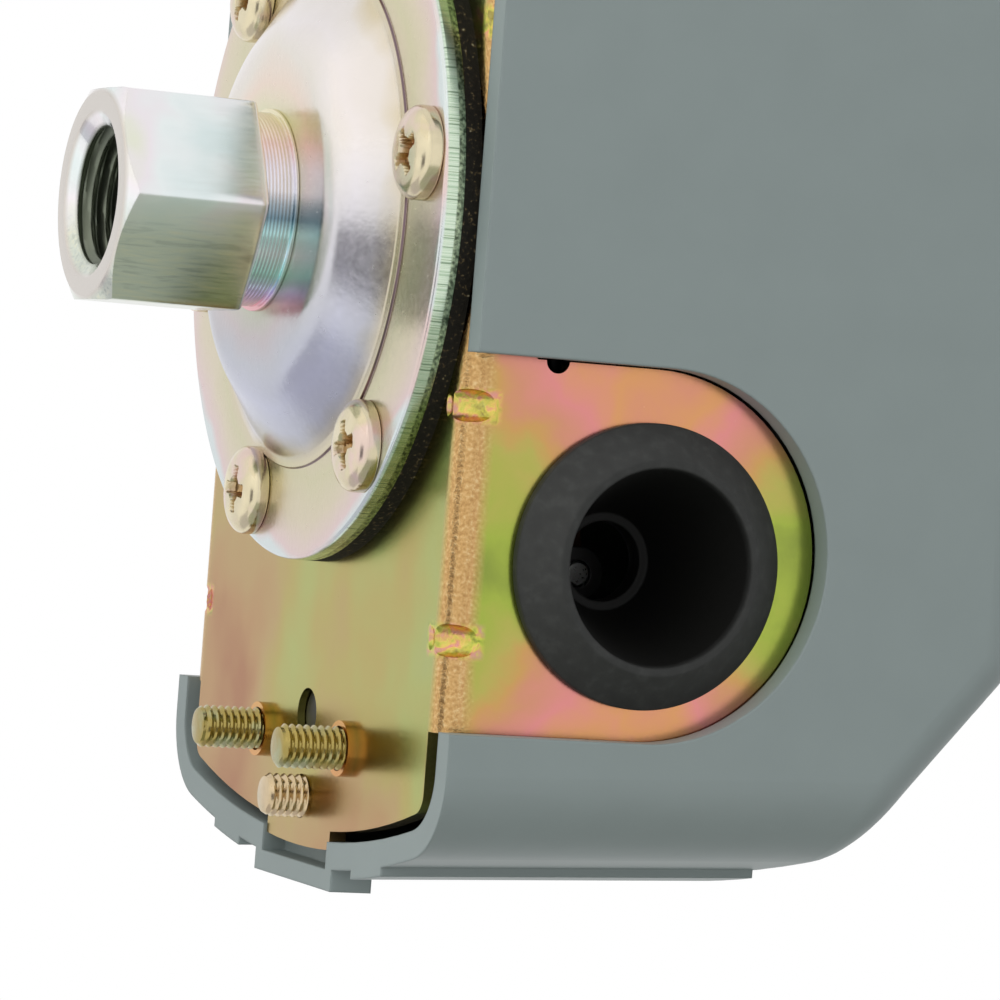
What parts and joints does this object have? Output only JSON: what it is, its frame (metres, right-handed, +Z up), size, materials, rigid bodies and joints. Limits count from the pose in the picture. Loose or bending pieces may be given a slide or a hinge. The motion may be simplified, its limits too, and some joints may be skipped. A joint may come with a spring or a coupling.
{
  "type": "pressure switch",
  "caption": "Diaphragm pressure switch with a hexagon pipe port, screwed flange, bent steel base with cable grommets, spring lever, contact block and lift-off plastic cover.",
  "frame": {"origin": "centre of the pressure port's mouth, on the hexagon's front face", "axes": "+Z up through the switch from the port to the cover nut, X through the two cable entries, -Y towards the terminals"},
  "size_m": [0.0704, 0.1033, 0.0881],
  "materials": {
    "zinc_plated_fitting": "bright zinc plate, faint iridescence",
    "zinc_plated_flange": "pale iridescent chromate over zinc",
    "zinc_plated_screws": "pale yellow zinc plate",
    "zinc_plated_steel": "zinc plate",
    "yellow_zinc_plate": "yellow chromate over zinc, iridescent",
    "spring_steel": "oil-tempered wire",
    "black_rubber": "matte",
    "grommet_rubber": "matte",
    "grey_cover_plastic": "satin moulded",
    "black_moulding": "moulded phenolic",
    "brown_moulding": "moulded phenolic",
    "brass_plate": "stamped",
    "silver_contact": "silver rivet",
    "green_ground_screw": "green dyed zinc"
  },
  "bodies": {
    "base": {"port_fitting": "zinc_plated_fitting", "pressure_flange": "zinc_plated_flange", "diaphragm": "black_rubber", "flange_screws": "zinc_plated_screws", "base_plate": "yellow_zinc_plate", "pivot_bracket": "yellow_zinc_plate", "pivot_pin": "zinc_plated_steel", "pin_clips": "spring_steel", "range_stud": "zinc_plated_steel", "differential_stud": "zinc_plated_steel", "ground_screws": "green_ground_screw", "ground_washers": "zinc_plated_steel", "block_screw": "zinc_plated_screws", "terminal_block": "black_moulding", "terminal_plates": "brass_plate", "wire_clamps": "zinc_plated_steel", "terminal_screws": "zinc_plated_screws", "fixed_contacts": "silver_contact", "arm_pin": "zinc_plated_steel", "grommet_left": "grommet_rubber", "grommet_right": "grommet_rubber", "range_spring": "spring_steel", "differential_spring": "spring_steel"},
    "follower": {"follower": "zinc_plated_steel"},
    "lever": {"lever": "yellow_zinc_plate", "snap_spring": "spring_steel"},
    "contact_arm": {"contact_arm": "brown_moulding", "contact_bridges": "brass_plate", "moving_contacts": "silver_contact"},
    "range_seat": {"range_seat": "zinc_plated_steel"},
    "range_nut": {"range_nut": "zinc_plated_steel"},
    "differential_seat": {"differential_seat": "zinc_plated_steel"},
    "differential_nut": {"differential_nut": "zinc_plated_steel"},
    "cover": {"cover": "grey_cover_plastic"},
    "cover_nut": {"cover_nut": "zinc_plated_steel"}
  },
  "joints": [
    {"name": "lever_tilt", "type": "hinge", "parent": "base", "child": "lever", "pos_m": [0, 0.029, 0.0368], "axis": [-1, 0, 0], "range_deg": [0, 2.37], "stiffness_Nm_per_rad": 10, "deforming": ["snap_spring"]},
    {"name": "follower_slide", "type": "slide", "parent": "base", "child": "follower", "axis": [0, 0, 1], "range_m": [0, 0.00121]},
    {"name": "contact_arm_tilt", "type": "hinge", "parent": "base", "child": "contact_arm", "pos_m": [0, -0.031, 0.0453], "axis": [1, 0, 0], "range_deg": [0, 18]},
    {"name": "range_seat_slide", "type": "slide", "parent": "base", "child": "range_seat", "axis": [0, 0, 1], "range_m": [-0.005, 0.004], "deforming": ["range_spring"]},
    {"name": "range_nut_turn", "type": "hinge", "parent": "range_seat", "child": "range_nut", "pos_m": [0, -0.011, 0.06], "axis": [0, 0, 1], "range_deg": [-1800, 1440]},
    {"name": "differential_seat_slide", "type": "slide", "parent": "base", "child": "differential_seat", "axis": [0, 0, 1], "range_m": [-0.0035, 0.0035], "deforming": ["differential_spring"]},
    {"name": "differential_nut_turn", "type": "hinge", "parent": "differential_seat", "child": "differential_nut", "pos_m": [0.0086, 0.0082, 0.052], "axis": [0, 0, 1], "range_deg": [-1800, 1800]},
    {"name": "cover_lift", "type": "slide", "parent": "base", "child": "cover", "axis": [0, 0, 1], "range_m": [0, 0.065]},
    {"name": "cover_nut_turn", "type": "hinge", "parent": "cover", "child": "cover_nut", "pos_m": [0, -0.011, 0.084], "axis": [0, 0, 1], "continuous": true}
  ],
  "couplings": [
    {"joint": "follower_slide", "follows": "lever_tilt", "m_per_rad": 0.029},
    {"joint": "contact_arm_tilt", "follows": "lever_tilt", "ratio": 7.5},
    {"joint": "range_nut_turn", "follows": "range_seat_slide", "rad_per_m": 6283.2},
    {"joint": "differential_nut_turn", "follows": "differential_seat_slide", "rad_per_m": 8976}
  ]
}
